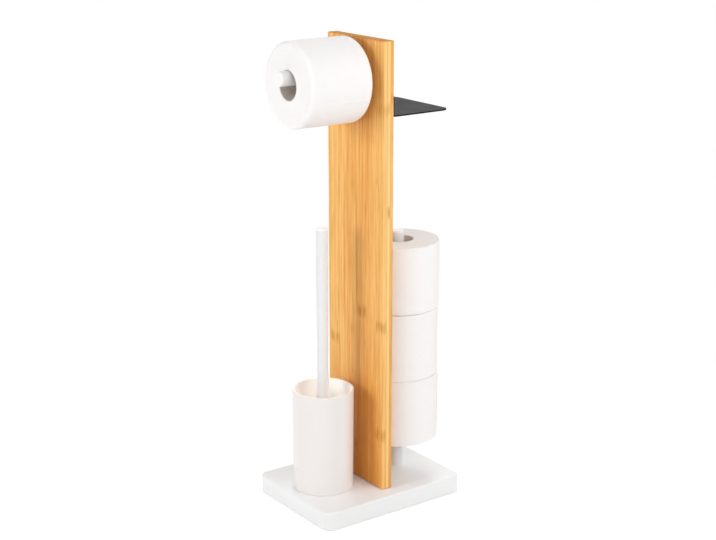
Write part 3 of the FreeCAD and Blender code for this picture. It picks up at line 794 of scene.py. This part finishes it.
def wind(rows, on_paper, turns, hole, reach, width, seed):
    """Turn, radius and place along of each point, with the paper's sag, torn end and uneven windings."""
    look = settings().rolls
    rng = np.random.default_rng(seed)
    radius, along, ends = rows.T
    girth = math.tau * reach
    turn = np.tile(turns[:, None], (1, len(rows)))
    run = np.tile(along / width, (len(turns), 1))

    zigzag = np.where(np.arange(len(rows)) % 2, 1, -1) * (ends == 0) * on_paper
    turn[0] += TORN_EDGE / girth * zigzag
    turn[-1] += TORN_EDGE / girth * zigzag

    sink = look.slack * ripple(rng, **SLACK_WAVES)(turn, run) + look.sheet_step * turn
    off_line = np.abs((turn * girth + look.sheet_length / 2) % look.sheet_length - look.sheet_length / 2)
    on_line = off_line < girth / look.steps_around / 2
    sink += look.perforation_depth * on_line * (turn > UNBROKEN_SHARE) * (turn < 1 - UNBROKEN_SHARE)

    winding = (radius - hole) / look.winding_pitch - turn
    phases = rng.uniform(0, math.tau, LAYER_WAVES)
    speeds = rng.uniform(*LAYER_SPEEDS, LAYER_WAVES)
    layered = sum(np.cos(math.tau * speed * winding + phase) for speed, phase in zip(speeds, phases))
    lean = ripple(rng, **LEAN_WAVES)(turn, run)
    recess = look.winding_depth * (0.5 + layered / (2 * LAYER_WAVES) + LEAN_SHARE * lean)
    recess *= np.minimum(1, (radius - hole) / FLAT_RIM)

    inward = np.where(along < width / 2, 1, -1)
    return turn, radius - sink * on_paper * (1 - ends), along + inward * recess * ends * on_paper


def closed_faces(columns, rows):
    """The faces of a grid of points that closes both ways, column by column."""
    faces = []
    for j in range(columns):
        here = j * rows
        after = (j + 1) % columns * rows
        for i in range(rows):
            above = (i + 1) % rows
            faces.append((here + i, after + i, after + above, here + above))
    return faces


def lay_wrap(mesh, run, travel):
    """Lays the way around a roll and the way over its outline, in metres, into a mesh of closed faces."""
    flat = []
    for start, stop in zip(run, run[1:]):
        for low, high in zip(travel, travel[1:]):
            flat += [start, low, stop, low, stop, high, start, high]
    mesh.uv_layers.new(name="wrap").data.foreach_set("uv", flat)


def wound_roll(name, bends, axis, tail, seed):
    """Paper wound on a core: soft edges, a step at the loose end, perforated lines and uneven windings."""
    look = settings().rolls
    low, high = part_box(f"{name}_paper")
    core_low, core_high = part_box(f"{name}_core")
    first, second = (side for side in range(3) if side != axis)
    width = high[axis] - low[axis]
    reach = (high[first] - low[first]) / 2
    hole = (core_high[first] - core_low[first]) / 2
    girth = math.tau * reach

    shown, inside = roll_rows(hole, reach, width, bends, look)
    rows = np.vstack([shown, inside])
    on_paper = np.arange(len(rows)) < len(shown)
    turns = np.append(np.arange(look.steps_around) / look.steps_around, 1 - LOOSE_GAP / girth)
    turn, radius, along = wind(rows, on_paper, turns, hole, reach, width, seed)

    bearing = math.tau * turn + math.radians(tail)
    middle = (low + high) / 2
    points = np.zeros((*turn.shape, 3))
    points[..., axis] = low[axis] + along
    points[..., first] = middle[first] + radius * np.cos(bearing)
    points[..., second] = middle[second] + radius * np.sin(bearing)
    piece = add_piece(f"{name}_wound_paper", points.reshape(-1, 3), closed_faces(*turn.shape), "tissue")

    ends = np.tile(rows[:, 2], len(turns)).astype(np.float32)
    piece.data.attributes.new("ends", "FLOAT", "POINT").data.foreach_set("value", ends)
    steps = np.hypot(np.diff(rows[:, 0]), np.diff(rows[:, 1]))
    travel = np.cumsum([0.0, *steps, width / HOLE_STEPS])
    lay_wrap(piece.data, np.append(turns, 1.0) * girth, travel)
    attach(piece, name)
    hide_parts(f"{name}_paper")
    return piece


# Bristles: sides and steps of a filament's mesh, share of its width that it loses towards the tip

BRISTLE_SEED = 11
FILAMENT_SIDES = 4
FILAMENT_STEPS = 4
FILAMENT_TAPER = 0.35

# Depth of the roots in the stem, room kept at the ends of the head, least and most that is trimmed off
ROOT_SINK = 0.3 * MM
HEAD_MARGIN = 0.4 * MM
TRIMMED_MM = (0.2, 1.4)

# Scatter of the tips over the spread, and of the bows over the droop
TIP_SCATTER = 0.4
BOW_SCATTER = 0.5


def head_reach(low, high, bend, level):
    """Radius of the brush head at a level, rounded at both ends."""
    over = max(0.0, low.z + bend - level, level - (high.z - bend))
    return (high.x - low.x) / 2 - bend + math.sqrt(max(0.0, bend * bend - over * over))


def filament_line(rng, low, high, root, bearing, level):
    """Points along one bowed filament, from the stem to its trimmed tip."""
    look = settings().brush
    middle = (low + high) / 2
    off = rng.uniform(-0.5, 0.5, 2) * look.tuft_width
    fan = rng.normal(0, TIP_SCATTER, 2) * look.spread
    tip_level = min(max(level + fan[1], low.z + HEAD_MARGIN), high.z - HEAD_MARGIN)
    tip = head_reach(low, high, look.head_round, tip_level) - rng.uniform(*TRIMMED_MM) * MM
    sag = rng.normal(0, BOW_SCATTER, 2) * look.droop
    start_turn = bearing + off[0] / root
    end_turn = bearing + fan[0] / tip
    sunk = root - ROOT_SINK
    line = []
    for k in range(FILAMENT_STEPS + 1):
        way = k / FILAMENT_STEPS
        bow = math.sin(math.pi * way)
        away = sunk + (tip - sunk) * way
        turn = start_turn + (end_turn - start_turn) * way + sag[0] * bow / away
        height = level + off[1] + (tip_level - level - off[1]) * way + sag[1] * bow
        line.append(Vector((middle.x + away * math.cos(turn), middle.y + away * math.sin(turn), height)))
    return line


def add_filament(points, faces, line, width):
    """Adds a thin closed rod along a line to a mesh's points and faces."""
    sides = range(FILAMENT_SIDES)
    first = len(points)
    heading = (line[-1] - line[0]).normalized()
    level = heading.cross(Vector((0, 0, 1))).normalized()
    rise = heading.cross(level)
    for k, centre in enumerate(line):
        reach = width / 2 * (1 - FILAMENT_TAPER * k / (len(line) - 1))
        for side in sides:
            turn = math.tau * side / FILAMENT_SIDES
            points.append(centre + (level * math.cos(turn) + rise * math.sin(turn)) * reach)
    for k in range(len(line) - 1):
        start = first + k * FILAMENT_SIDES
        above = start + FILAMENT_SIDES
        for side in sides:
            after = (side + 1) % FILAMENT_SIDES
            faces.append((start + side, start + after, above + after, above + side))
    last = first + (len(line) - 1) * FILAMENT_SIDES
    faces.append(tuple(first + side for side in reversed(sides)))
    faces.append(tuple(last + side for side in sides))


def bristle_tufts(seed):
    """Tufts of nylon filaments in rings along the stem, trimmed to the round-ended head."""
    look = settings().brush
    low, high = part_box("brush_bristles")
    middle = (low + high) / 2
    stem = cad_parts["brush_stem"].data.vertices
    root = max(math.hypot(v.co.x - middle.x, v.co.y - middle.y) for v in stem if v.co.z < middle.z)
    rng = np.random.default_rng(seed)
    points = []
    faces = []
    for ring in range(look.rings):
        level = low.z + (high.z - low.z) * (ring + 0.5) / look.rings
        for tuft in range(look.tufts):
            bearing = math.tau * (tuft + 0.5 * (ring % 2)) / look.tufts
            for _ in range(look.filaments):
                line = filament_line(rng, low, high, root, bearing, level)
                add_filament(points, faces, line, look.filament_width)
    piece = add_piece("brush_bristle_tufts", points, faces, "bristle_nylon")
    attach(piece, "brush")
    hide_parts("brush_bristles")
    return piece


# Studio, with its soft lamps: metres across, degrees from the front and above the level, metres away

LAMPS = {
    "key": {"size": 0.7, "bearing": -96, "rise": 14, "distance": 1.8},
    "fill": {"size": 1.2, "bearing": 12, "rise": 30, "distance": 2.2},
    "back": {"size": 1.0, "bearing": 140, "rise": 35, "distance": 2.2},
    "top": {"size": 1.2, "bearing": 0, "rise": 75, "distance": 2.2},
}
SENSOR_WIDTH = 36.0
FLOOR_CORNERS = 96

# Share of the shadow's reach over which the floor keeps its own tone
SHADOW_SHARE = 0.4


def add_floor():
    """Pale round floor that keeps the stand's shadow and turns plain white further out."""
    look = settings().studio
    points = [(0.0, 0.0, 0.0)]
    for k in range(FLOOR_CORNERS):
        turn = math.tau * k / FLOOR_CORNERS
        points.append((look.floor_reach * math.cos(turn), look.floor_reach * math.sin(turn), 0.0))
    faces = [(0, 1 + k, 1 + (k + 1) % FLOOR_CORNERS) for k in range(FLOOR_CORNERS)]
    mesh = bpy.data.meshes.new("studio_floor")
    mesh.from_pydata(points, [], faces)
    mesh.materials.append(floor_finish())
    floor = add_object("studio_floor", mesh)
    return floor


def seen_directly(tree):
    """One where the camera, a mirror or glass looks, and nought for light that falls on the stand."""
    path = put(tree, "ShaderNodeLightPath").outputs
    seen = calc(tree, "ADD", path["Is Camera Ray"], path["Is Glossy Ray"])
    return calc(tree, "MINIMUM", calc(tree, "ADD", seen, path["Is Transmission Ray"]), 1.0)


def floor_finish():
    """Matt pale floor with a white lift for the eye alone."""
    look = settings().studio
    material = bpy.data.materials.new("studio_floor")
    material.use_nodes = True
    tree = material.node_tree
    tree.nodes.clear()
    seen = seen_directly(tree)
    matt = put(tree, "ShaderNodeBsdfDiffuse", {"Color": look.floor_tone})
    lift = put(tree, "ShaderNodeEmission", {"Strength": calc(tree, "MULTIPLY", seen, look.floor_lift)})
    near = put(tree, "ShaderNodeAddShader")
    fill(tree, near.inputs[0], matt.outputs[0])
    fill(tree, near.inputs[1], lift.outputs[0])
    white = put(tree, "ShaderNodeEmission", {"Strength": 1.0})
    away = vector_calc(tree, "LENGTH", rest_place(tree))["Value"]
    far = ease(tree, away, start=look.shadow_reach * SHADOW_SHARE, end=look.shadow_reach)
    mixed = put(tree, "ShaderNodeMixShader", {"Fac": calc(tree, "MULTIPLY", far, seen)})
    fill(tree, mixed.inputs[1], near.outputs[0])
    fill(tree, mixed.inputs[2], white.outputs[0])
    put(tree, "ShaderNodeOutputMaterial", {"Surface": mixed.outputs[0]})
    return material


def add_world():
    """Even light from all round, which the camera sees as plain white."""
    look = settings().studio
    world = bpy.data.worlds.new("studio_world")
    world.use_nodes = True
    tree = world.node_tree
    tree.nodes.clear()
    level = between(tree, seen_directly(tree), low=look.ambient, high=1.0)
    sky = put(tree, "ShaderNodeBackground", {"Color": (1.0, 1.0, 1.0, 1.0), "Strength": level})
    put(tree, "ShaderNodeOutputWorld", {"Surface": sky.outputs[0]})
    bpy.context.scene.world = world


def add_lamp(name, power, aim, size, bearing, rise, distance):
    """A square soft lamp, turned to a point, so many degrees from the front and above the level."""
    data = bpy.data.lights.new(name, "AREA")
    data.energy = power
    data.size = size
    turn = math.radians(bearing)
    up = math.radians(rise)
    away = Vector((math.sin(turn) * math.cos(up), -math.cos(turn) * math.cos(up), math.sin(up)))
    lamp = add_object(name, data)
    lamp.location = aim + away * distance
    lamp.rotation_euler = (-away).to_track_quat("-Z", "Y").to_euler()


def add_camera():
    """Camera at the viewing angle of the picture."""
    look = settings().studio
    data = bpy.data.cameras.new("studio_camera")
    data.sensor_width = SENSOR_WIDTH
    data.lens = look.focal_length
    ahead = Vector((math.sin(look.heading), math.cos(look.heading), 0))
    right = Vector((math.cos(look.heading), -math.sin(look.heading), 0))
    aim = ahead * math.cos(look.tilt) - Vector((0, 0, math.sin(look.tilt)))
    camera = add_object("studio_camera", data)
    camera.location = right * look.aside - ahead * look.distance + Vector((0, 0, look.height))
    camera.rotation_euler = aim.to_track_quat("-Z", "Y").to_euler()
    bpy.context.scene.camera = camera


# Operators

class ROLL_STAND_OT_base(bpy.types.Operator):
    """Finish the base and its feet"""

    bl_idname = "roll_stand.base"
    bl_label = "Base"

    def execute(self, context):
        dress("base_plate", "base_feet")
        return {"FINISHED"}


class ROLL_STAND_OT_board(bpy.types.Operator):
    """Finish the bamboo board with its dowels and screws"""

    bl_idname = "roll_stand.board"
    bl_label = "Board"

    def execute(self, context):
        dress("upright_board", "board_dowels", "board_screws")
        return {"FINISHED"}


class ROLL_STAND_OT_rods(bpy.types.Operator):
    """Finish the roll arm, the spare rod and the rest disc"""

    bl_idname = "roll_stand.rods"
    bl_label = "Arm and rod"

    def execute(self, context):
        for rod in ("roll_arm", "spare_rod"):
            dress(rod, f"{rod}_insert", f"{rod}_cap", f"{rod}_washer", f"{rod}_screw")
        dress("roll_rest", "roll_rest_grub_screw")
        return {"FINISHED"}


class ROLL_STAND_OT_shelf(bpy.types.Operator):
    """Finish the shelf and its screws"""

    bl_idname = "roll_stand.shelf"
    bl_label = "Shelf"

    def execute(self, context):
        dress("shelf_tray", "shelf_tray_screws")
        return {"FINISHED"}


class ROLL_STAND_OT_cup(bpy.types.Operator):
    """Finish the brush cup"""

    bl_idname = "roll_stand.cup"
    bl_label = "Cup"

    def execute(self, context):
        dress("brush_cup")
        return {"FINISHED"}


class ROLL_STAND_OT_brush(bpy.types.Operator):
    """Finish the brush handle and set the bristles"""

    bl_idname = "roll_stand.brush"
    bl_label = "Brush"

    def execute(self, context):
        dress("brush_handle", "brush_handle_insert", "brush_handle_cap", "brush_stem")
        bristle_tufts(BRISTLE_SEED)
        return {"FINISHED"}


class ROLL_STAND_OT_rolls(bpy.types.Operator):
    """Wind the paper rolls and finish their cores"""

    bl_idname = "roll_stand.rolls"
    bl_label = "Paper rolls"

    def execute(self, context):
        look = settings().rolls
        bends = {
            "arm_roll": (look.used_round, look.used_round),
            "spare_roll_lower": (look.spare_round, look.spare_round),
            "spare_roll_middle": (look.pressed_round, look.seam_round),
            "spare_roll_upper": (look.seam_round, look.spare_round),
        }
        for name, winding in ROLLS.items():
            dress(f"{name}_core")
            wound_roll(name, bends[name], **winding)
        return {"FINISHED"}


class ROLL_STAND_OT_studio(bpy.types.Operator):
    """Set up the floor, the soft light and the camera"""

    bl_idname = "roll_stand.studio"
    bl_label = "Studio"

    def execute(self, context):
        look = settings().studio
        context.scene.view_settings.view_transform = "Standard"
        add_floor()
        add_world()
        middle = Vector((0, 0, (CAD_BOX[0].z + CAD_BOX[1].z) / 2))
        for name, stand in LAMPS.items():
            add_lamp(f"{name}_lamp", getattr(look, f"{name}_power"), middle, **stand)
        add_camera()
        return {"FINISHED"}


class ROLL_STAND_PT_panel(bpy.types.Panel):
    """The stand's steps and settings"""

    bl_idname = "ROLL_STAND_PT_panel"
    bl_label = "Roll and brush stand"
    bl_space_type = "VIEW_3D"
    bl_region_type = "UI"
    bl_category = "Stand"

    def draw(self, context):
        for step in STEPS:
            self.layout.operator(step.bl_idname)
        stand = context.scene.roll_stand
        for group in stand.bl_rna.properties:
            if group.type == "POINTER" and group.identifier != "rna_type":
                box = self.layout.box()
                box.label(text=group.name)
                part = getattr(stand, group.identifier)
                for value in part.bl_rna.properties:
                    if value.identifier not in ("rna_type", "name"):
                        box.prop(part, value.identifier)


STEPS = (
    ROLL_STAND_OT_base, ROLL_STAND_OT_board, ROLL_STAND_OT_rods, ROLL_STAND_OT_shelf,
    ROLL_STAND_OT_cup, ROLL_STAND_OT_brush, ROLL_STAND_OT_rolls, ROLL_STAND_OT_studio,
)
CLASSES = (
    FinishSettings, BambooSettings, RollSettings, BrushSettings, StudioSettings, StandSettings,
) + STEPS + (ROLL_STAND_PT_panel,)


def register():
    """Adds the classes and the scene's settings."""
    for part in CLASSES:
        bpy.utils.register_class(part)
    bpy.types.Scene.roll_stand = PointerProperty(type=StandSettings)


def unregister():
    """Takes the settings and the classes away again."""
    del bpy.types.Scene.roll_stand
    for part in reversed(CLASSES):
        bpy.utils.unregister_class(part)


def main():
    """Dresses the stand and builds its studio."""
    register()
    bpy.ops.roll_stand.base()
    bpy.ops.roll_stand.board()
    bpy.ops.roll_stand.rods()
    bpy.ops.roll_stand.shelf()
    bpy.ops.roll_stand.cup()
    bpy.ops.roll_stand.brush()
    bpy.ops.roll_stand.rolls()
    bpy.ops.roll_stand.studio()


if __name__ == "__main__":
    main()
